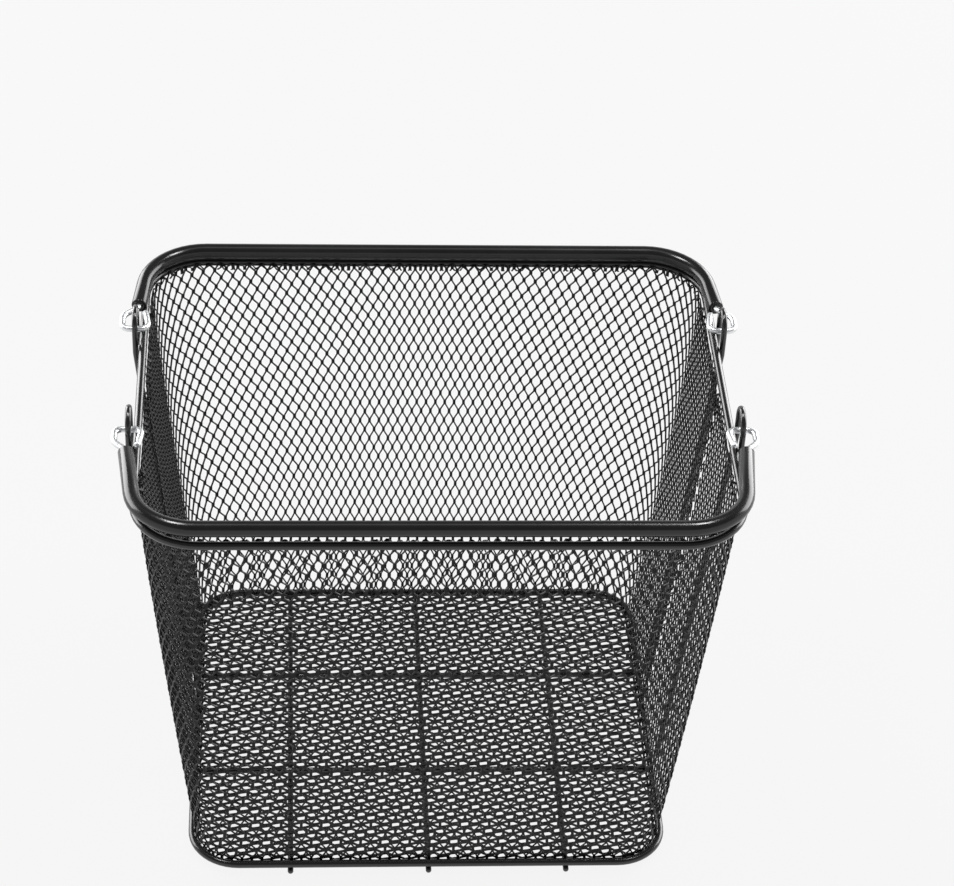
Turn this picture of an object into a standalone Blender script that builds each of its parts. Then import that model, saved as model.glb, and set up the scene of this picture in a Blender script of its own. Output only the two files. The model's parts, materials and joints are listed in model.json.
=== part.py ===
"""Bicycle handlebar basket: an expanded steel basket on welded wire frames, with two swinging bail handles.

Metres, +Z up. The origin is on the ground under the middle of the basket. X runs across the basket,
-Y is its front and +Y is the side that faces the handlebar.
"""

import math

import bmesh
import bpy
from mathutils import Matrix, Vector

# Driving dimensions. Frame sizes are measured between wire centres.
RIM_WIDTH = 0.350
RIM_DEPTH = 0.280
RIM_CORNER = 0.038
RIM_WIRE = 0.005
FOOT_WIDTH = 0.295
FOOT_DEPTH = 0.258
FOOT_CORNER = 0.0295
FOOT_WIRE = 0.005
BASKET_HEIGHT = 0.267

FLOOR_WIRE = 0.0036
FLOOR_WIRE_PITCH = 0.086
FLOOR_WIRE_SIDES = (("left", -1), ("middle", 0), ("right", 1))
FLOOR_WIRE_TAIL = 0.0008
CROSS_WIRE_PITCH = 0.090

MESH_THICKNESS = 0.0012
HEM_THICKNESS = 0.0022
HEM_HEIGHT = 0.004
HEM_ABOVE_RIM = 0.0015
SEAM_GAP = 0.0004

HOOK_WIRE = 0.0036
HOOK_ARCH_RADIUS = 0.00975
HOOK_ARCH_CENTRE_RISE = 0.010
HOOK_LEG_BEND = 0.020
HOOK_LEG_BEND_DROP = 0.005
HOOK_TIP_DROP = 0.014
HOOK_TIP_FLARE = 0.002

BAIL_WIRE = 0.0038
PIVOT_SPACING = 0.100
PIVOT_SHIFT = 0.009
EYE_OVER_RIM = 0.0016
GRIP_OVER_RIM = 0.00275
GRIP_INSET = 0.0028
GRIP_NARROWING = 0.0029
ARM_SPLAY = math.radians(6.5)
BAIL_CORNER = 0.038
EYE_OUTSET = 0.0084
EYE_INSET = 0.0078
EYE_LENGTH = 0.013
EYE_NECK = 0.008
EYE_BEND = 0.0045
NECK_BEND = 0.008
RETURN_LEG = 0.017
RETURN_LEAN = 0.0025

SLEEVE_OUTER = 0.0095
SLEEVE_CLEARANCE = 0.0004
SLEEVE_START = 0.0225

# Clearance between pieces that touch, which the weld or the paint fills on the real basket.
GAP = 0.0003

ENDS = (("front", -1), ("rear", 1))
ARC_STEP = math.radians(15)
WIRE_SIDES = 8
SLEEVE_SIDES = 12

# Heights and offsets that follow from the dimensions above.
# A floor wire lies on a flat of its eight-sided section, not on a corner of it.
FLOOR_WIRE_Z = FLOOR_WIRE / 2 * math.cos(math.pi / WIRE_SIDES)
FLOOR_WIRE_TOP = 2 * FLOOR_WIRE_Z
FOOT_Z = FLOOR_WIRE_TOP + GAP + FOOT_WIRE / 2
CROSS_WIRE_Z = FLOOR_WIRE_TOP + GAP + FLOOR_WIRE / 2
FLOOR_Z = CROSS_WIRE_Z + FLOOR_WIRE / 2 + GAP
WALL_BOTTOM = FLOOR_Z + MESH_THICKNESS + GAP
RIM_Z = FOOT_Z + BASKET_HEIGHT
HEM_TOP = RIM_Z + HEM_ABOVE_RIM
HEM_BOTTOM = HEM_TOP - HEM_HEIGHT
WALL_IN_RIM = RIM_WIRE / 2 + GAP
WALL_IN_FOOT = FOOT_WIRE / 2 + GAP
HOOK_X = RIM_WIDTH / 2 + RIM_WIRE / 2 + GAP + HOOK_WIRE / 2
HOOK_FOOT_X = FOOT_WIDTH / 2 + FOOT_WIRE / 2 + GAP + HOOK_WIRE / 2
PIVOT_Y = {"front": PIVOT_SHIFT - PIVOT_SPACING / 2, "rear": PIVOT_SHIFT + PIVOT_SPACING / 2}
PIVOT_Z = RIM_Z + RIM_WIRE / 2 + EYE_OVER_RIM + BAIL_WIRE / 2
GRIP_X = RIM_WIDTH / 2 - GRIP_NARROWING
GRIP_Y = RIM_DEPTH / 2 - GRIP_INSET
GRIP_Z = RIM_Z + RIM_WIRE / 2 + GRIP_OVER_RIM + SLEEVE_OUTER / 2
SLEEVE_BORE = BAIL_WIRE + 2 * SLEEVE_CLEARANCE


def clear_scene():
    for old in list(bpy.data.objects):
        bpy.data.objects.remove(old)


def finish(name, colour, roughness, metallic):
    """A material with one plain Principled shader."""
    material = bpy.data.materials.new(name)
    material.use_nodes = True
    shader = material.node_tree.nodes["Principled BSDF"]
    shader.inputs["Base Color"].default_value = (*colour, 1)
    shader.inputs["Roughness"].default_value = roughness
    shader.inputs["Metallic"].default_value = metallic
    return material


def bent(corners, closed=False):
    """The centre line through corners, each a point and the radius that the wire is bent to there."""
    line = []
    for index, (corner, radius) in enumerate(corners):
        if radius == 0:
            line.append(corner)
            continue
        before = (corners[index - 1][0] - corner).normalized()
        after = (corners[(index + 1) % len(corners)][0] - corner).normalized()
        half = before.angle(after) / 2
        centre = corner + (before + after).normalized() * radius / math.sin(half)
        start = corner + before * radius / math.tan(half) - centre
        end = corner + after * radius / math.tan(half) - centre
        turn = math.pi - 2 * half
        axis = start.cross(end).normalized()
        steps = max(2, round(turn / ARC_STEP))
        for step in range(steps + 1):
            line.append(centre + Matrix.Rotation(turn * step / steps, 3, axis) @ start)
    kept = [line[0]]
    for point in line[1:]:
        if (point - kept[-1]).length > GAP:
            kept.append(point)
    if closed and (kept[0] - kept[-1]).length < GAP:
        kept.pop()
    return kept


def rounded_rectangle(width, depth, corner, z):
    """Corners for bent(): a rectangle about the origin, anticlockwise seen from above."""
    signs = ((1, -1), (1, 1), (-1, 1), (-1, -1))
    return [(Vector((x * width / 2, y * depth / 2, z)), corner) for x, y in signs]


def rod(name, line, diameter, material, closed=False, origin=(0, 0, 0), sides=WIRE_SIDES, upright=True):
    """A wire of even section along a centre line, with flats above and below where it runs level."""
    curve = bpy.data.curves.new(name, "CURVE")
    curve.dimensions = "3D"
    curve.twist_mode = "Z_UP" if upright else "MINIMUM"
    curve.bevel_depth = diameter / 2
    curve.bevel_resolution = (sides - 4) // 2
    curve.use_fill_caps = not closed
    spline = curve.splines.new("POLY")
    spline.points.add(len(line) - 1)
    for point, place in zip(spline.points, line):
        point.co = (*(place - Vector(origin)), 1)
        point.tilt = math.pi / sides
    spline.use_cyclic_u = closed
    spline.use_smooth = True
    piece = bpy.data.objects.new(name, curve)
    piece.location = origin
    bpy.context.scene.collection.objects.link(piece)
    curve.materials.append(material)
    return piece


def swept_section(name, sections, material):
    """A closed body through a run of like sections, each a loop of points, with both ends capped."""
    mesh = bpy.data.meshes.new(name)
    form = bmesh.new()
    loops = [[form.verts.new(point) for point in section] for section in sections]
    for here, there in zip(loops, loops[1:]):
        for index in range(len(here)):
            after = (index + 1) % len(here)
            form.faces.new((here[index], here[after], there[after], there[index]))
    form.faces.new(loops[0])
    form.faces.new(reversed(loops[-1]))
    bmesh.ops.recalc_face_normals(form, faces=form.faces)
    form.to_mesh(mesh)
    form.free()
    mesh.materials.append(material)
    piece = bpy.data.objects.new(name, mesh)
    bpy.context.scene.collection.objects.link(piece)
    return piece


def make_frames(paint):
    """The rim wire and the foot wire, each bent to a rounded rectangle and butt welded."""
    rim = rounded_rectangle(RIM_WIDTH, RIM_DEPTH, RIM_CORNER, RIM_Z)
    rod("rim_wire", bent(rim, closed=True), RIM_WIRE, paint, closed=True)
    foot = rounded_rectangle(FOOT_WIDTH, FOOT_DEPTH, FOOT_CORNER, FOOT_Z)
    rod("foot_wire", bent(foot, closed=True), FOOT_WIRE, paint, closed=True)


def make_floor_wires(paint):
    """Three wires under the foot wire from front to back, and two over them from side to side."""
    reach = FOOT_DEPTH / 2 + FOOT_WIRE / 2 + FLOOR_WIRE_TAIL
    for side, place in FLOOR_WIRE_SIDES:
        x = place * FLOOR_WIRE_PITCH
        line = [Vector((x, -reach, FLOOR_WIRE_Z)), Vector((x, reach, FLOOR_WIRE_Z))]
        rod(f"floor_wire_{side}", line, FLOOR_WIRE, paint)
    reach = FOOT_WIDTH / 2 - FOOT_WIRE / 2 - GAP
    for end, sign in ENDS:
        y = sign * CROSS_WIRE_PITCH / 2
        line = [Vector((-reach, y, CROSS_WIRE_Z)), Vector((reach, y, CROSS_WIRE_Z))]
        rod(f"cross_wire_{end}", line, FLOOR_WIRE, paint)


def between(low, high, share):
    return low + (high - low) * share


def wall_outline(inset, share):
    """The basket's outline at a share of the way from the foot wire's height up to the rim's."""
    width = between(FOOT_WIDTH - 2 * WALL_IN_FOOT, RIM_WIDTH - 2 * WALL_IN_RIM, share) - 2 * inset
    depth = between(FOOT_DEPTH - 2 * WALL_IN_FOOT, RIM_DEPTH - 2 * WALL_IN_RIM, share) - 2 * inset
    corner = between(FOOT_CORNER - WALL_IN_FOOT, RIM_CORNER - WALL_IN_RIM, share) - inset
    z = FOOT_Z + BASKET_HEIGHT * share
    return bent(rounded_rectangle(width, depth, corner, z), closed=True)


def share_at(z):
    return (z - FOOT_Z) / BASKET_HEIGHT


def make_walls(mesh_steel):
    """The front and rear halves of the mesh wall, each a U that meets the other at mid side, hemmed on top."""
    profile = (
        (0, WALL_BOTTOM),
        (0, HEM_TOP),
        (HEM_THICKNESS, HEM_TOP),
        (HEM_THICKNESS, HEM_BOTTOM),
        (MESH_THICKNESS, HEM_BOTTOM),
        (MESH_THICKNESS, WALL_BOTTOM),
    )
    outlines = [wall_outline(inset, share_at(z)) for inset, z in profile]
    for end, sign in ENDS:
        sections = []
        for points in zip(*outlines):
            if points[0].y * sign > 0:
                sections.append(list(points))
        sections.sort(key=lambda section: math.atan2(section[0].x, sign * section[0].y))
        seams = []
        for section in (sections[0], sections[-1]):
            seams.append([Vector((point.x, sign * SEAM_GAP / 2, point.z)) for point in section])
        swept_section(f"wall_{end}", [seams[0], *sections, seams[1]], mesh_steel)


def make_floor(mesh_steel):
    """The mesh floor, which lies on the cross wires inside the foot wire."""
    low = wall_outline(0, share_at(FLOOR_Z))
    high = [point + Vector((0, 0, MESH_THICKNESS)) for point in low]
    swept_section("floor_mesh", [low, high], mesh_steel)


def make_hooks(paint):
    """Four wires up the outside of the side walls, each ending in a cane hook that holds a handle's eye."""
    arch_z = RIM_Z + HOOK_ARCH_CENTRE_RISE
    arch_top = arch_z + HOOK_ARCH_RADIUS
    for end, y_sign in ENDS:
        leg_y = PIVOT_Y[end] - y_sign * HOOK_ARCH_RADIUS
        tip_y = PIVOT_Y[end] + y_sign * HOOK_ARCH_RADIUS
        flared_y = tip_y + y_sign * HOOK_TIP_FLARE
        for side, x_sign in (("left", -1), ("right", 1)):
            x = x_sign * HOOK_X
            line = bent([
                (Vector((x_sign * HOOK_FOOT_X, leg_y, FOOT_Z - FOOT_WIRE / 2)), 0),
                (Vector((x, leg_y, RIM_Z - HOOK_LEG_BEND_DROP)), HOOK_LEG_BEND),
                (Vector((x, leg_y, arch_top)), HOOK_ARCH_RADIUS),
                (Vector((x, tip_y, arch_top)), HOOK_ARCH_RADIUS),
                (Vector((x, tip_y, RIM_Z)), HOOK_LEG_BEND),
                (Vector((x, flared_y, RIM_Z - HOOK_TIP_DROP)), 0),
            ])
            rod(f"hook_{end}_{side}", line, HOOK_WIRE, paint, upright=False)


def bail_half(x_sign, arm_length):
    """Half of a bail in its own plane, from the end of its return leg to the corner of its grip."""
    shoulder = EYE_LENGTH + EYE_NECK
    shoulder_x = GRIP_X + (arm_length - shoulder) * math.tan(ARM_SPLAY)
    return [
        (x_sign * (HOOK_X - EYE_INSET + RETURN_LEAN), RETURN_LEG, 0),
        (x_sign * (HOOK_X - EYE_INSET), 0, EYE_BEND),
        (x_sign * (HOOK_X + EYE_OUTSET), 0, EYE_BEND),
        (x_sign * (HOOK_X + EYE_OUTSET), EYE_LENGTH, NECK_BEND),
        (x_sign * shoulder_x, shoulder, NECK_BEND),
        (x_sign * GRIP_X, arm_length, BAIL_CORNER),
    ]


def make_handles(zinc, vinyl):
    """Two bails: a zinc plated wire with an eye at each end through a hook, and a sleeve over its grip."""
    for end, y_sign in ENDS:
        pivot = Vector((0, PIVOT_Y[end], PIVOT_Z))
        arm = Vector((0, y_sign * GRIP_Y, GRIP_Z)) - pivot
        along = arm.normalized()
        across = Vector((1, 0, 0))
        corners = bail_half(-1, arm.length) + bail_half(1, arm.length)[::-1]
        wire_line = bent([(pivot + across * x + along * run, radius) for x, run, radius in corners])
        rod(f"bail_wire_{end}", wire_line, BAIL_WIRE, zinc, origin=pivot)
        mouth_x = GRIP_X + (arm.length - SLEEVE_START) * math.tan(ARM_SPLAY)
        sleeve_line = bent([
            (pivot - across * mouth_x + along * SLEEVE_START, 0),
            (pivot - across * GRIP_X + arm, BAIL_CORNER),
            (pivot + across * GRIP_X + arm, BAIL_CORNER),
            (pivot + across * mouth_x + along * SLEEVE_START, 0),
        ])
        sleeve = rod(f"grip_sleeve_{end}", sleeve_line, SLEEVE_OUTER, vinyl, origin=pivot, sides=SLEEVE_SIDES)
        sleeve.data.use_fill_caps = False
        wall = sleeve.modifiers.new("wall", "SOLIDIFY")
        wall.thickness = (SLEEVE_OUTER - SLEEVE_BORE) / 2
        wall.offset = -1


def main():
    clear_scene()
    paint = finish("black_powder_coat", (0.012, 0.012, 0.013), 0.32, 0.0)
    mesh_steel = finish("black_coated_mesh", (0.015, 0.015, 0.016), 0.42, 0.0)
    zinc = finish("zinc_plate", (0.72, 0.73, 0.75), 0.22, 1.0)
    vinyl = finish("black_vinyl", (0.018, 0.018, 0.019), 0.28, 0.0)
    make_frames(paint)
    make_floor_wires(paint)
    make_floor(mesh_steel)
    make_walls(mesh_steel)
    make_hooks(paint)
    make_handles(zinc, vinyl)


main()
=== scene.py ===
import json
import math

import bmesh
import bpy
from mathutils import Matrix, Vector


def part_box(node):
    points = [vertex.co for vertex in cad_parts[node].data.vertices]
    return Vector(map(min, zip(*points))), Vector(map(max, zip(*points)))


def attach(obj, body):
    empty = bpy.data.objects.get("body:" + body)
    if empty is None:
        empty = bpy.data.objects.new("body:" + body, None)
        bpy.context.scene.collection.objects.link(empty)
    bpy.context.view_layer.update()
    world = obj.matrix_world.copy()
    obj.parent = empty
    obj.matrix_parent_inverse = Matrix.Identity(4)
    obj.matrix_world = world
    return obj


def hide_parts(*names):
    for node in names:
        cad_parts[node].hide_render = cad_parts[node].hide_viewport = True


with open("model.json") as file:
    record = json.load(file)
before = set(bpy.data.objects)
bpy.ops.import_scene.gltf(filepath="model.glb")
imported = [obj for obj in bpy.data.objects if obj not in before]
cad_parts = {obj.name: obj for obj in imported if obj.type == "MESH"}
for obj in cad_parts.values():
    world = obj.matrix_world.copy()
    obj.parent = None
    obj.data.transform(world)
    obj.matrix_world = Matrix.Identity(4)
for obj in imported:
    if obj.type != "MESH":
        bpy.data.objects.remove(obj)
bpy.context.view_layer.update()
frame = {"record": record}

# Rim wire: one 5 mm mild steel wire that stiffens the mouth of the basket, bent to a rounded
# rectangle, butt welded at the middle of its rear run and powder coated black with everything else.
RIM_WIRE = 0.005
RIM_CORNER = 0.038
WIRE_SIDES = 20
BEND_STEP = math.radians(7.5)
FEWEST_BEND_STEPS = 3
SMOOTH_UP_TO = math.radians(50)
TOUCHING = 1e-6
# A CAD wire has flat sides, so its box ends where they do: this far from its middle, in radii.
CAD_WIRE_SIDES = 8
CAD_FLAT = math.cos(math.pi / CAD_WIRE_SIDES)
# In diameters: the shortest straight run worth drawing, the radius of a cut end's tip, and then the
# length of each step of its rounding, with how much the step grows.
SHORTEST_RUN = 1 / 50
CUT_TIP = 1 / 6
CUT_STEPS = ((0.1, 2.4), (0.2, 1.25))
# Between which levels of the noise the tone turns, and how far the gloss drifts with it.
TONE_RANGE = (0.35, 0.75)
GLOSS_RANGE = (0.85, 1.2)
POWDER_BLACK = "0E0E0F"
POWDER_BLACK_THIN = "1B1B1D"
POWDER_ROUGHNESS = 0.20
POWDER_GLAZE = 0.3
ORANGE_PEEL = 0.0012
ORANGE_PEEL_DEPTH = 0.00004


def deselect():
    """Leaves nothing selected, so that an operator acts only on what is made or picked next."""
    for other in bpy.context.selected_objects:
        other.select_set(False)


def linear(hex_colour):
    """An sRGB hex value as a linear colour."""
    channels = [int(hex_colour[place:place + 2], 16) / 255 for place in (0, 2, 4)]
    scaled = [c / 12.92 if c <= 0.04045 else ((c + 0.055) / 1.055) ** 2.4 for c in channels]
    return (*scaled, 1)


def add_node(material, kind, inputs=None, links=None, **settings):
    """A node with its settings, its input values, and its inputs linked from other nodes' outputs."""
    node = material.node_tree.nodes.new(kind)
    for name, value in settings.items():
        setattr(node, name, value)
    for name, value in (inputs or {}).items():
        node.inputs[name].default_value = value
    for name, output in (links or {}).items():
        material.node_tree.links.new(output, node.inputs[name])
    return node


def coated(
    name, colour, thin_colour, roughness, grain, depth,
    metallic=0.0, coat=0.0, fleck=0.04, shine=0.5,
):
    """A finish with a relief of that grain and depth, whose tone and gloss drift from fleck to fleck."""
    material = bpy.data.materials.new(name)
    material.use_nodes = True
    nodes = material.node_tree.nodes
    shader = nodes["Principled BSDF"]
    place = add_node(material, "ShaderNodeTexCoord")
    relief = add_node(
        material, "ShaderNodeTexNoise", {"Scale": 1 / grain, "Detail": 3.0},
        {"Vector": place.outputs["Object"]},
    )
    cloud = add_node(
        material, "ShaderNodeTexNoise", {"Scale": 1 / fleck, "Detail": 4.0, "Roughness": 0.6},
        {"Vector": place.outputs["Object"]},
    )
    tone = add_node(material, "ShaderNodeValToRGB", links={"Fac": cloud.outputs["Fac"]})
    for stop, share, stop_colour in zip(tone.color_ramp.elements, TONE_RANGE, (colour, thin_colour)):
        stop.position = share
        stop.color = linear(stop_colour)
    glossy, dull = [roughness * share for share in GLOSS_RANGE]
    gloss = add_node(
        material, "ShaderNodeMapRange", {"To Min": glossy, "To Max": dull},
        {"Value": cloud.outputs["Fac"]},
    )
    bump = add_node(
        material, "ShaderNodeBump", {"Strength": 0.5, "Distance": depth},
        {"Height": relief.outputs["Fac"]},
    )
    link = material.node_tree.links.new
    link(tone.outputs["Color"], shader.inputs["Base Color"])
    link(gloss.outputs["Result"], shader.inputs["Roughness"])
    link(bump.outputs["Normal"], shader.inputs["Normal"])
    shader.inputs["Metallic"].default_value = metallic
    shader.inputs["Coat Weight"].default_value = coat
    shader.inputs["Specular IOR Level"].default_value = shine
    return material


def draw_wire(name, diameter, corners, sides=WIRE_SIDES, open_ends=False):
    """A round wire through corners, each a point and the radius of the bend there.

    A ring ends where it starts. The other wires have rounded cut ends, unless open_ends leaves a tube.
    """
    places = [Vector(place) for place, _ in corners]
    closed = (places[0] - places[-1]).length < TOUCHING
    plain = closed or open_ends
    cut_end = [] if plain else [(diameter * share, growth) for share, growth in CUT_STEPS]
    here = places[0]
    heading = (places[1] - here).normalized()
    deselect()
    bpy.ops.mesh.primitive_circle_add(
        vertices=sides,
        radius=diameter / 2 if plain else diameter * CUT_TIP,
        fill_type="NOTHING" if plain else "NGON",
        location=here,
        rotation=heading.to_track_quat("Z", "Y").to_euler(),
    )
    piece = bpy.context.object
    bpy.ops.object.transform_apply(location=True, rotation=True, scale=True)
    bpy.ops.object.mode_set(mode="EDIT")
    bpy.ops.mesh.select_all(action="SELECT")
    for length, growth in cut_end:
        bpy.ops.mesh.extrude_region_move(TRANSFORM_OT_translate={"value": heading * length})
        here = here + heading * length
        bpy.ops.transform.resize(value=(growth,) * 3, center_override=here)
    for index in range(1, len(places)):
        corner, radius = places[index], corners[index][1]
        if radius == 0:
            stop = sum(length for length, _ in cut_end)
            bpy.ops.mesh.extrude_region_move(
                TRANSFORM_OT_translate={"value": heading * ((corner - here).length - stop)},
            )
            here = corner - heading * stop
            continue
        after = (places[index + 1] - corner).normalized()
        angle = heading.angle(after)
        start = corner - heading * radius * math.tan(angle / 2)
        if (start - here).length > diameter * SHORTEST_RUN:
            bpy.ops.mesh.extrude_region_move(TRANSFORM_OT_translate={"value": start - here})
        axis = heading.cross(after).normalized()
        centre = start + axis.cross(heading) * radius
        steps = max(FEWEST_BEND_STEPS, round(angle / BEND_STEP))
        bpy.ops.mesh.spin(steps=steps, angle=-angle, center=centre, axis=axis)
        here = centre + Matrix.Rotation(angle, 3, axis) @ (start - centre)
        heading = after
    for length, growth in reversed(cut_end):
        bpy.ops.mesh.extrude_region_move(TRANSFORM_OT_translate={"value": heading * length})
        here = here + heading * length
        bpy.ops.transform.resize(value=(1 / growth,) * 3, center_override=here)
    if not plain:
        bpy.ops.mesh.edge_face_add()
    bpy.ops.mesh.select_all(action="SELECT")
    bpy.ops.mesh.remove_doubles(threshold=TOUCHING)
    bpy.ops.mesh.normals_make_consistent(inside=False)
    bpy.ops.object.mode_set(mode="OBJECT")
    bpy.ops.object.shade_smooth_by_angle(angle=SMOOTH_UP_TO)
    piece.name = name
    piece.data.name = name
    return piece


def wire_ring(name, node, diameter, corner):
    """A closed ring of wire through the middle of a CAD ring, started at the middle of its rear run."""
    low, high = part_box(node)
    flat = diameter / 2 * CAD_FLAT
    half_width = (high[0] - low[0]) / 2 - flat
    half_depth = (high[1] - low[1]) / 2 - flat
    z = (low[2] + high[2]) / 2
    signs = ((-1, 1), (-1, -1), (1, -1), (1, 1))
    bends = [((x * half_width, y * half_depth, z), corner) for x, y in signs]
    weld = ((0, half_depth, z), 0)
    return draw_wire(name, diameter, [weld, *bends, weld]), half_width, half_depth, z


# Powder coat, sprayed on dry and baked: a hard black gloss with a slight orange peel, 1.2 mm across,
# that breaks up the long highlights on the wires, and a shade greyer where the coat is thin.
powder_coat = coated(
    "black_powder_coated_steel_wire", POWDER_BLACK, POWDER_BLACK_THIN, POWDER_ROUGHNESS,
    ORANGE_PEEL, ORANGE_PEEL_DEPTH, coat=POWDER_GLAZE,
)
rim, rim_half_width, rim_half_depth, rim_z = wire_ring("rim_wire_round", "rim_wire", RIM_WIRE, RIM_CORNER)
rim.data.materials.append(powder_coat)
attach(rim, "basket")
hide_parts("rim_wire")

# Foot wire: the same 5 mm steel wire, bent smaller round the bottom of the basket. The mesh walls
# and the floor wires are spot welded to it, and it is powder coated with them.
FOOT_WIRE = 0.005
FOOT_CORNER = 0.0295
foot, foot_half_width, foot_half_depth, foot_z = wire_ring(
    "foot_wire_round", "foot_wire", FOOT_WIRE, FOOT_CORNER,
)
foot.data.materials.append(powder_coat)
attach(foot, "basket")
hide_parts("foot_wire")

# Floor wires: three 3.6 mm runners under the foot wire from front to back, and two wires
# over them from side to side. All are cut off, spot welded where they cross and powder coated.
FLOOR_WIRE = 0.0036
floor_wires = [f"floor_wire_{place}" for place in ("left", "middle", "right")]
for node in (*floor_wires, "cross_wire_front", "cross_wire_rear"):
    low, high = [Vector(corner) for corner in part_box(node)]
    middle = (low + high) / 2
    along = Vector((1, 0, 0)) if high.x - low.x > high.y - low.y else Vector((0, 1, 0))
    length = (high - low).dot(along)
    ends = [(middle - along * length / 2, 0), (middle + along * length / 2, 0)]
    runner = draw_wire(node + "_round", FLOOR_WIRE, ends)
    runner.data.materials.append(powder_coat)
    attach(runner, "basket")
    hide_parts(node)

# Hooks: four 3.6 mm wires welded up the outside of the side walls. Each rises past the rim, arches
# over outwards along the side and comes down beside it, so that a handle's eye can't lift out.
HOOK_WIRE = 0.0036
HOOK_ARCH_RADIUS = 0.00975
HOOK_LEG_BEND = 0.020
HOOK_LEG_BEND_DROP = 0.005
HOOK_TIP_DROP = 0.014
HOOK_TIP_FLARE = 0.002
pivots = {joint["child"]: Vector(joint["pos_m"]) for joint in frame["record"]["behaviour"]["joints"]}
for end, y_sign in (("front", -1), ("rear", 1)):
    pivot = pivots[end + "_handle"]
    for side, x_sign in (("left", -1), ("right", 1)):
        node = f"hook_{end}_{side}"
        low, high = [Vector(corner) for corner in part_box(node)]
        outer_x = (high.x if x_sign > 0 else low.x) - x_sign * HOOK_WIRE / 2 * CAD_FLAT
        foot_x = (low.x if x_sign > 0 else high.x) + x_sign * HOOK_WIRE / 2
        leg_y = pivot.y - y_sign * HOOK_ARCH_RADIUS
        tip_y = pivot.y + y_sign * HOOK_ARCH_RADIUS
        hook = draw_wire(node + "_round", HOOK_WIRE, [
            ((foot_x, leg_y, low.z), 0),
            ((outer_x, leg_y, rim_z - HOOK_LEG_BEND_DROP), HOOK_LEG_BEND),
            ((outer_x, leg_y, high.z - HOOK_WIRE / 2), HOOK_ARCH_RADIUS),
            ((outer_x, tip_y, high.z - HOOK_WIRE / 2), HOOK_ARCH_RADIUS),
            ((outer_x, tip_y, rim_z), HOOK_LEG_BEND),
            ((outer_x, tip_y + y_sign * HOOK_TIP_FLARE, rim_z - HOOK_TIP_DROP), 0),
        ])
        hook.data.materials.append(powder_coat)
        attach(hook, "basket")
        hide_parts(node)
hook_x = abs(outer_x)

# Bails: one 3.8 mm zinc plated wire for each handle. At both ends the wire leaves its sleeve, steps
# outwards, crosses through the hook as the pivot, and turns back beside itself to close the eye.
BAIL_WIRE = 0.0038
BAIL_CORNER = 0.038
ARM_SPLAY = math.radians(6.5)
GRIP_NARROWING = 0.0029
EYE_OUTSET = 0.0084
EYE_INSET = 0.0078
EYE_LENGTH = 0.013
EYE_NECK = 0.008
EYE_BEND = 0.0045
NECK_BEND = 0.008
RETURN_LEG = 0.017
RETURN_LEAN = 0.0025
ZINC_BRIGHT = "EEF0F1"
ZINC_DULL = "D2D4D6"
ZINC_ROUGHNESS = 0.36
ZINC_GRAIN = 0.0006
ZINC_GRAIN_DEPTH = 0.00001
ZINC_CLOUD = 0.006
SLEEVE_OUTER = 0.0095
CAD_SLEEVE_SIDES = 12


def arm_x(run, arm_length):
    """How far out a bail's arm is at a distance from its pivot, as it splays from the grip to the eye."""
    return grip_x + (arm_length - run) * math.tan(ARM_SPLAY)


def bail_corners(pivot, along, half):
    """Both halves of a run of corners (x, distance along the arm, bend), one a mirror of the other."""
    whole = [(-x, run, bend) for x, run, bend in half] + half[::-1]
    return [(pivot + Vector((x, 0, 0)) + along * run, bend) for x, run, bend in whole]


# Zinc, plated bright on drawn wire: a whitish metal with soft, broken highlights and duller clouds
# 6 mm across. Its grain is too fine to see, so it is drawn 0.6 mm wide to show.
zinc = coated(
    "bright_zinc_plated_wire", ZINC_BRIGHT, ZINC_DULL, ZINC_ROUGHNESS,
    ZINC_GRAIN, ZINC_GRAIN_DEPTH, metallic=1.0, fleck=ZINC_CLOUD,
)
grip_x = rim_half_width - GRIP_NARROWING
arms = {}
for end, y_sign in (("front", -1), ("rear", 1)):
    body = end + "_handle"
    pivot = pivots[body]
    low, high = [Vector(corner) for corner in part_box("grip_sleeve_" + end)]
    flat = SLEEVE_OUTER / 2 * math.cos(math.pi / CAD_SLEEVE_SIDES)
    grip_y = (high.y if y_sign > 0 else low.y) - y_sign * flat
    arm = Vector((0, grip_y, high.z - flat)) - pivot
    along = arm.normalized()
    arms[end] = (pivot, along, arm.length)
    bail = draw_wire(f"bail_wire_{end}_round", BAIL_WIRE, bail_corners(pivot, along, [
        (hook_x - EYE_INSET + RETURN_LEAN, RETURN_LEG, 0),
        (hook_x - EYE_INSET, 0, EYE_BEND),
        (hook_x + EYE_OUTSET, 0, EYE_BEND),
        (hook_x + EYE_OUTSET, EYE_LENGTH, NECK_BEND),
        (arm_x(EYE_LENGTH + EYE_NECK, arm.length), EYE_LENGTH + EYE_NECK, NECK_BEND),
        (grip_x, arm.length, BAIL_CORNER),
    ]))
    bail.data.materials.append(zinc)
    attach(bail, body)
    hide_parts("bail_wire_" + end)

# Grip sleeves: a length of extruded black vinyl tube on each bail, pushed over the wire before its
# ends are bent, so that it follows both corners. Its cut ends are slightly rounded.
SLEEVE_BORE = 0.0042
SLEEVE_START = 0.0225
SLEEVE_SIDES = 32
SLEEVE_LIP = 0.0006
LIP_STEPS = 3
LIP_ANGLE = math.radians(60)
VINYL_BLACK = "0D0D0E"
VINYL_BLOOM = "161618"
VINYL_ROUGHNESS = 0.20
VINYL_RIPPLE = 0.0025
VINYL_RIPPLE_DEPTH = 0.00003
VINYL_CLOUD = 0.03
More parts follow.
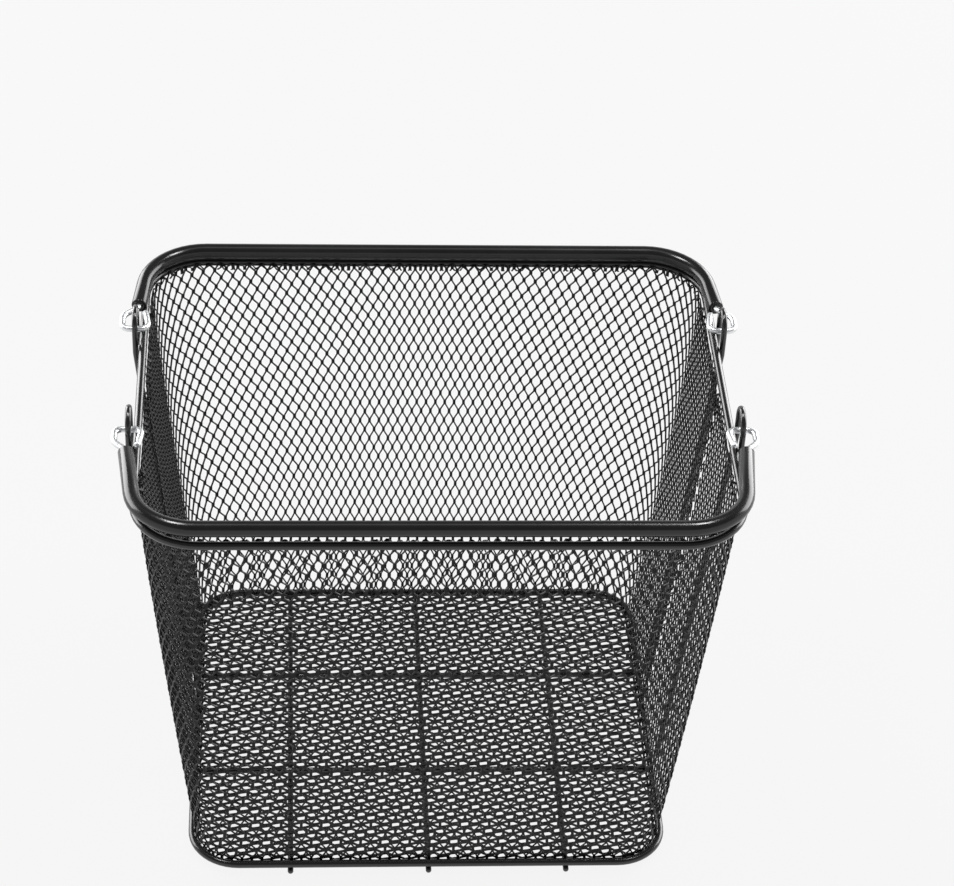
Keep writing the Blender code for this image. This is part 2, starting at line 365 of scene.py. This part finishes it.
# Soft vinyl, extruded: a deep black with a smooth shine, slightly wavy from the die every 2 to 3 mm,
# with a faint grey bloom in patches about 30 mm across.
vinyl = coated(
    "black_extruded_vinyl", VINYL_BLACK, VINYL_BLOOM, VINYL_ROUGHNESS,
    VINYL_RIPPLE, VINYL_RIPPLE_DEPTH, fleck=VINYL_CLOUD,
)
for end, (pivot, along, arm_length) in arms.items():
    body = end + "_handle"
    sleeve_corners = bail_corners(pivot, along, [
        (arm_x(SLEEVE_START, arm_length), SLEEVE_START, 0),
        (grip_x, arm_length, BAIL_CORNER),
    ])
    sleeve = draw_wire(
        f"grip_sleeve_{end}_tube", SLEEVE_OUTER, sleeve_corners, SLEEVE_SIDES, open_ends=True,
    )
    wall = sleeve.modifiers.new("wall", "SOLIDIFY")
    wall.thickness = (SLEEVE_OUTER - SLEEVE_BORE) / 2
    wall.offset = -1
    lip = sleeve.modifiers.new("lip", "BEVEL")
    lip.width = SLEEVE_LIP
    lip.segments = LIP_STEPS
    lip.angle_limit = LIP_ANGLE
    bpy.ops.object.modifier_apply(modifier="wall")
    bpy.ops.object.modifier_apply(modifier="lip")
    bpy.ops.object.shade_smooth_by_angle(angle=SMOOTH_UP_TO)
    sleeve.data.materials.append(vinyl)
    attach(sleeve, body)
    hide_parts("grip_sleeve_" + end)

# Mesh walls: two U-shaped halves of expanded steel, slit and stretched so that narrow strands zigzag
# upwards and stay joined at the bonds. They lap at mid side and their top edge is rolled inwards.
CELL_WIDTH = 0.0061
CELL_HEIGHT = 0.01465
STRAND = 0.00088
BOND = 0.0036
BOND_TILT = 0.00030
MESH_GAUGE = 0.00080
MESH_DEPTH = MESH_GAUGE + 2 * BOND_TILT
WALL_BOW = 0.0016
LAP = 0.0070
LAP_STEP = 0.010
CELLS_IN_HALF = 88
# Drawn to the wall's taper, the sheet's rows tighten upwards. Outside a fan in the middle of each
# half, its cells widen and its rows droop.
ROW_TIGHTENING = 0.19
FAN_AT_TOP = 0.007
FAN_SPREAD = 0.5
FAN_SOFTNESS = 0.025
SIDE_STRETCH = 0.205
SIDE_DROOP = 0.22
DROOP_ENDS = 0.200
SHEET_SPARE = 1.35
ROLL_RADIUS = 0.0008
ROLL_TAIL = 0.0030
ROLL_ABOVE_RIM = 0.0004
MESH_BELOW_FOOT = 0.0005
SATIN_BLACK = "090909"
SATIN_BLACK_THIN = "151516"
SATIN_ROUGHNESS = 0.38
SATIN_SHINE = 0.25
SATIN_GRAIN = 0.0009
SATIN_GRAIN_DEPTH = 0.00005
SATIN_CLOUD = 0.012
# The same powder on expanded steel: the narrow strands take it thin and uneven, so it reads as a dull,
# satin black with only short glints, a little greyer every 12 mm or so.
mesh_paint = coated(
    "satin_black_expanded_steel", SATIN_BLACK, SATIN_BLACK_THIN, SATIN_ROUGHNESS,
    SATIN_GRAIN, SATIN_GRAIN_DEPTH, fleck=SATIN_CLOUD, shine=SATIN_SHINE,
)


def strand_sheet(name, columns, height, strand_width):
    """A flat sheet of expanded metal in X and Y, centred on X and rising from Y = 0, with tilted bonds."""
    deselect()
    swing = CELL_WIDTH / 4 - strand_width / 2
    rise = CELL_HEIGHT / 2 - BOND
    bpy.ops.mesh.primitive_plane_add(size=1, location=(0, 0, 0))
    strand = bpy.context.object
    strand.scale = (strand_width, BOND, 1)
    strand.location = (-swing, BOND / 2, 0)
    bpy.ops.object.transform_apply(location=True, rotation=True, scale=True)
    for vertex in strand.data.vertices:
        vertex.co.z = -BOND_TILT if vertex.co.y > BOND / 2 else BOND_TILT
    bpy.ops.object.mode_set(mode="EDIT")
    edit = bmesh.from_edit_mesh(strand.data)
    for vertex in edit.verts:
        vertex.select_set(vertex.co.y > BOND / 2)
    edit.select_flush_mode()
    bmesh.update_edit_mesh(strand.data)
    for shift in (
        (2 * swing, rise, 2 * BOND_TILT),
        (0, BOND, -2 * BOND_TILT),
        (-2 * swing, rise, 2 * BOND_TILT),
    ):
        bpy.ops.mesh.extrude_region_move(TRANSFORM_OT_translate={"value": shift})
    bpy.ops.mesh.select_all(action="SELECT")
    bpy.ops.mesh.duplicate()
    bpy.ops.transform.resize(value=(-1, 1, 1), center_override=(CELL_WIDTH / 4, 0, 0))
    bpy.ops.mesh.select_all(action="SELECT")
    bpy.ops.mesh.normals_make_consistent(inside=False)
    bpy.ops.object.mode_set(mode="OBJECT")
    rows = math.ceil(height / CELL_HEIGHT)
    for step, count, merged in (((0, CELL_HEIGHT, 0), rows, True), ((CELL_WIDTH, 0, 0), columns, False)):
        copies = strand.modifiers.new("copies", "ARRAY")
        copies.use_relative_offset = False
        copies.use_constant_offset = True
        copies.constant_offset_displace = step
        copies.count = count
        copies.use_merge_vertices = merged
        copies.merge_threshold = 1e-5
        bpy.ops.object.modifier_apply(modifier="copies")
    for vertex in strand.data.vertices:
        vertex.co.x -= (columns - 0.5) * CELL_WIDTH / 2
    strand.name = name
    strand.data.name = name
    return strand


def pick(sheet):
    """Makes the sheet active and alone selected."""
    deselect()
    bpy.context.view_layer.objects.active = sheet
    sheet.select_set(True)


def trim(sheet, point, normal):
    """Cuts the sheet along a plane and drops what lies on the side that normal points to."""
    pick(sheet)
    bpy.ops.object.mode_set(mode="EDIT")
    bpy.ops.mesh.select_all(action="SELECT")
    bpy.ops.mesh.bisect(plane_co=point, plane_no=normal, clear_outer=True, threshold=1e-7)
    bpy.ops.object.mode_set(mode="OBJECT")


def thicken(sheet, material, gauge):
    """Gives the flat strands the sheet's gauge, half to each side."""
    pick(sheet)
    plate = sheet.modifiers.new("gauge", "SOLIDIFY")
    plate.thickness = gauge
    plate.offset = 0
    bpy.ops.object.modifier_apply(modifier="gauge")
    sheet.data.materials.append(material)


wall_low = foot_z - MESH_BELOW_FOOT
wall_high = rim_z + ROLL_ABOVE_RIM
wall_height = wall_high - wall_low


def mix(low, high, share):
    """The value that lies that share of the way from low to high."""
    return low + (high - low) * share


def wall_shape(z, inset):
    """Half width, half depth and corner radius of the mesh at a height, and half its girth at mid side."""
    share = (z - foot_z) / (rim_z - foot_z)
    inset = inset - WALL_BOW * max(0, 4 * share * (1 - share)) ** 0.5
    half_width = mix(foot_half_width - FOOT_WIRE / 2, rim_half_width - RIM_WIRE / 2, share) - inset
    half_depth = mix(foot_half_depth - FOOT_WIRE / 2, rim_half_depth - RIM_WIRE / 2, share) - inset
    corner = mix(FOOT_CORNER - FOOT_WIRE / 2, RIM_CORNER - RIM_WIRE / 2, share) - inset
    half_girth = half_width + half_depth - corner * (2 - math.pi / 2)
    return half_width, half_depth, corner, half_girth


def on_wall(along, z, inset):
    """The point of the front wall at a height and a distance round it from its middle."""
    half_width, half_depth, corner, half_girth = wall_shape(z, inset)
    sign = 1 if along >= 0 else -1
    along = abs(along) * half_girth / wall_shape(z, 0)[3]
    flat_run = half_width - corner
    corner_run = corner * math.pi / 2
    if along < flat_run:
        x, y = along, -half_depth
    elif along < flat_run + corner_run:
        angle = (along - flat_run) / corner
        x = flat_run + corner * math.sin(angle)
        y = -half_depth + corner - corner * math.cos(angle)
    else:
        x = half_width
        y = -half_depth + corner + along - flat_run - corner_run
    return Vector((sign * x, y, z))


def lap_share(along, z):
    """How far a sheet has stepped inwards to pass inside the other one: 0 at most places, 1 at mid side."""
    from_seam = wall_shape(z, 0)[3] - abs(along) - LAP / 2
    return max(0, min(1, 1 - from_seam / LAP_STEP))


def rolled(up, inset):
    """The height and inset of a point at a distance up the sheet, where the top edge rolls inwards."""
    if up <= wall_height:
        return wall_low + up, inset
    over = up - wall_height
    if over <= math.pi * ROLL_RADIUS:
        angle = over / ROLL_RADIUS
        return wall_high + ROLL_RADIUS * math.sin(angle), inset + ROLL_RADIUS * (1 - math.cos(angle))
    return wall_high - (over - math.pi * ROLL_RADIUS), inset + 2 * ROLL_RADIUS


def ramp(reach):
    """Zero where reach is well below zero and reach itself well above it, with a soft bend between."""
    return (reach + math.hypot(reach, FAN_SOFTNESS)) / 2


def stretched(across, up):
    """Where a point of an even sheet lies once drawn: cells widen and rows droop towards the sides."""
    share = up / wall_height
    fall = 1 - math.exp(-ROW_TIGHTENING)
    height = wall_height * (1 - math.exp(-ROW_TIGHTENING * share)) / fall
    fan = FAN_AT_TOP + FAN_SPREAD * (wall_height - height)
    reach = abs(across)
    side = ramp(reach - fan) - ramp(-fan)
    droop = side - ramp(reach - DROOP_ENDS) + ramp(-DROOP_ENDS)
    sign = 1 if across >= 0 else -1
    return sign * (reach + SIDE_STRETCH * side), height - SIDE_DROOP * droop


sheet_height = wall_height + math.pi * ROLL_RADIUS + ROLL_TAIL
low_girth = wall_shape(wall_low, 0)[3]
high_girth = wall_shape(wall_high, 0)[3]
for end, y_sign, step in (("front", 1, 0), ("rear", -1, MESH_DEPTH)):
    wall_mesh = strand_sheet(f"wall_{end}_mesh", CELLS_IN_HALF, SHEET_SPARE * sheet_height, STRAND)
    for vertex in wall_mesh.data.vertices:
        vertex.co.x, vertex.co.y = stretched(vertex.co.x, vertex.co.y - CELL_HEIGHT)
    trim(wall_mesh, (0, 0, 0), (0, -1, 0))
    trim(wall_mesh, (0, sheet_height, 0), (0, 1, 0))
    for side in (-1, 1):
        lap_edge = (side * (low_girth + LAP / 2), 0, 0)
        trim(wall_mesh, lap_edge, (side * wall_height, low_girth - high_girth, 0))
    for vertex in wall_mesh.data.vertices:
        level = wall_low + min(vertex.co.y, wall_height)
        inset = MESH_DEPTH / 2 + step * lap_share(vertex.co.x, level)
        z, depth = rolled(vertex.co.y, inset - vertex.co.z)
        place = on_wall(vertex.co.x, z, depth)
        vertex.co = (place.x * y_sign, place.y * y_sign, place.z)
    thicken(wall_mesh, mesh_paint, MESH_GAUGE)
    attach(wall_mesh, "basket")
    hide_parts("wall_" + end)

# Mesh floor: a tray of expanded steel with the walls' cells but wider strands, lying on the cross
# wires. Its edge is turned down inside the foot wire, and its strands run from side to side.
FLANGE = 0.006
FLOOR_STRAND = 0.0013
FLOOR_GAUGE = 0.0011
floor_low = Vector(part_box("floor_mesh")[0])
floor_z = floor_low.z + (FLOOR_GAUGE + 2 * BOND_TILT) / 2
tray_width, tray_depth, tray_corner, _ = wall_shape(floor_z, MESH_DEPTH)
floor_mesh = strand_sheet(
    "floor_tray_mesh", math.ceil(2 * (tray_depth + FLANGE) / CELL_WIDTH),
    2 * (tray_width + FLANGE) + CELL_HEIGHT, FLOOR_STRAND,
)
for vertex in floor_mesh.data.vertices:
    across, up, depth = vertex.co
    vertex.co = (tray_width + FLANGE - up, across, depth)
for x, y in ((1, 0), (-1, 0), (0, 1), (0, -1)):
    reach = tray_width + FLANGE if x else tray_depth + FLANGE
    trim(floor_mesh, (x * reach, y * reach, 0), (x, y, 0))


def past_edge(x, y):
    """The nearest point of the tray's outline and how far outside it (x, y) lies."""
    core_width = tray_width - tray_corner
    core_depth = tray_depth - tray_corner
    core = Vector((max(-core_width, min(core_width, x)), max(-core_depth, min(core_depth, y))))
    out = Vector((x, y)) - core
    if out.length <= tray_corner:
        return Vector((x, y)), 0
    return core + out.normalized() * tray_corner, out.length - tray_corner


pick(floor_mesh)
bpy.ops.object.mode_set(mode="EDIT")
bpy.ops.mesh.select_mode(type="FACE")
bpy.ops.mesh.select_all(action="DESELECT")
edit = bmesh.from_edit_mesh(floor_mesh.data)
for face in edit.faces:
    middle = face.calc_center_median()
    face.select_set(past_edge(middle.x, middle.y)[1] > FLANGE)
bmesh.update_edit_mesh(floor_mesh.data)
bpy.ops.mesh.delete(type="FACE")
bpy.ops.mesh.select_mode(type="VERT")
bpy.ops.object.mode_set(mode="OBJECT")
for vertex in floor_mesh.data.vertices:
    edge, past = past_edge(vertex.co.x, vertex.co.y)
    vertex.co = (edge.x, edge.y, floor_z - min(past, FLANGE) + vertex.co.z)
thicken(floor_mesh, mesh_paint, FLOOR_GAUGE)
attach(floor_mesh, "basket")
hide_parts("floor_mesh")

# Studio: a pale paper floor that glows from below so that it keeps no hard shadow, a dim room that is
# pale only where it meets the floor, large soft boxes behind the basket to its left and right for the
# long highlights on the round wires, and three smaller ones overhead.
PAPER_SIZE = 30
PAPER_DROP = 0.0004
PAPER_GREY = "303030"
PAPER_GLOW = 0.885
WHITE = "FFFFFF"
ROOM_PALE = 0.91
ROOM_GREY = 0.20
PALE_BELOW = 0.18
GREY_ABOVE = 0.40
OVERHEAD_PLACE = (0, 0.2, 2.0)
OVERHEAD_AIM = (0, 0, 0.15)
OVERHEAD_SIZE = (1.2, 0.5)
OVERHEAD_POWER = 1.5
SIDE_AIM = (0, 0, 0.25)
BANK_PLACE = (1.5, 1.1, 0.7)
BANK_SIZE = (2.0, 1.2)
BANK_POWER = 44
TOP_PLACE = (0.55, 0.15, 1.7)
TOP_SIZE = (0.5, 0.22)
TOP_POWER = 11
deselect()
bpy.ops.mesh.primitive_plane_add(size=PAPER_SIZE, location=(0, 0, -PAPER_DROP))
studio_floor = bpy.context.object
studio_floor.name = "studio_floor"
# Matt paper that glows: an even near-white without shine. Its dark base keeps lamps and shadows faint.
paper = bpy.data.materials.new("pale_paper_sweep")
paper.use_nodes = True
paper_shader = paper.node_tree.nodes["Principled BSDF"]
paper_shader.inputs["Base Color"].default_value = linear(PAPER_GREY)
paper_shader.inputs["Roughness"].default_value = 0.9
paper_shader.inputs["Specular IOR Level"].default_value = 0.0
paper_shader.inputs["Emission Color"].default_value = linear(WHITE)
paper_shader.inputs["Emission Strength"].default_value = PAPER_GLOW
studio_floor.data.materials.append(paper)

world = bpy.data.worlds.new("studio")
bpy.context.scene.world = world
world.use_nodes = True
backdrop = world.node_tree.nodes["Background"]
backdrop.inputs["Color"].default_value = linear(WHITE)
room = add_node(world, "ShaderNodeTexCoord")
facing = add_node(world, "ShaderNodeSeparateXYZ", links={"Vector": room.outputs["Generated"]})
glow = add_node(
    world, "ShaderNodeMapRange",
    {"From Min": PALE_BELOW, "From Max": GREY_ABOVE, "To Min": ROOM_PALE, "To Max": ROOM_GREY},
    {"Value": facing.outputs["Z"]},
)
world.node_tree.links.new(glow.outputs["Result"], backdrop.inputs["Strength"])


def soft_light(name, place, aim, size, power):
    """A soft box of that width and depth that faces aim."""
    lamp = bpy.data.lights.new(name, "AREA")
    lamp.shape = "RECTANGLE"
    lamp.size, lamp.size_y = size
    lamp.energy = power
    stand = bpy.data.objects.new(name, lamp)
    stand.location = place
    stand.rotation_euler = (Vector(aim) - Vector(place)).to_track_quat("-Z", "Y").to_euler()
    bpy.context.scene.collection.objects.link(stand)


soft_light("overhead", OVERHEAD_PLACE, OVERHEAD_AIM, OVERHEAD_SIZE, OVERHEAD_POWER)
for side in (-1, 1):
    for name, (x, y, z), size, power in (
        ("bank", BANK_PLACE, BANK_SIZE, BANK_POWER),
        ("top", TOP_PLACE, TOP_SIZE, TOP_POWER),
    ):
        soft_light(f"{name}_{side}", (side * x, y, z), SIDE_AIM, size, power)
bpy.context.scene.view_settings.view_transform = "Standard"

# Camera: above the front of the basket, a little to its left, with a long lens. It is rolled by
# 3 degrees, and its lens is shifted to set the basket low in the view.
SENSOR_WIDTH = 36
FOCAL_LENGTH = 111.67925
SHIFT_UP = 0.1287
PITCH = math.radians(40.19)
YAW = math.radians(4.676)
ROLL = math.radians(2.951)
DISTANCE = 1.8603
TARGET = Vector((0.0312, 0, (foot_z + rim_z) / 2))
lens = bpy.data.cameras.new("camera")
lens.sensor_width = SENSOR_WIDTH
lens.lens = FOCAL_LENGTH
lens.shift_y = SHIFT_UP
camera = bpy.data.objects.new("camera", lens)
look = Vector((math.sin(YAW) * math.cos(PITCH), math.cos(YAW) * math.cos(PITCH), -math.sin(PITCH)))
level_right = look.cross(Vector((0, 0, 1))).normalized()
level_up = level_right.cross(look)
right = level_right * math.cos(ROLL) + level_up * math.sin(ROLL)
up = level_up * math.cos(ROLL) - level_right * math.sin(ROLL)
turned = Matrix((right, up, -look)).transposed()
camera.matrix_world = Matrix.Translation(TARGET - look * DISTANCE) @ turned.to_4x4()
bpy.context.scene.collection.objects.link(camera)
bpy.context.scene.camera = camera
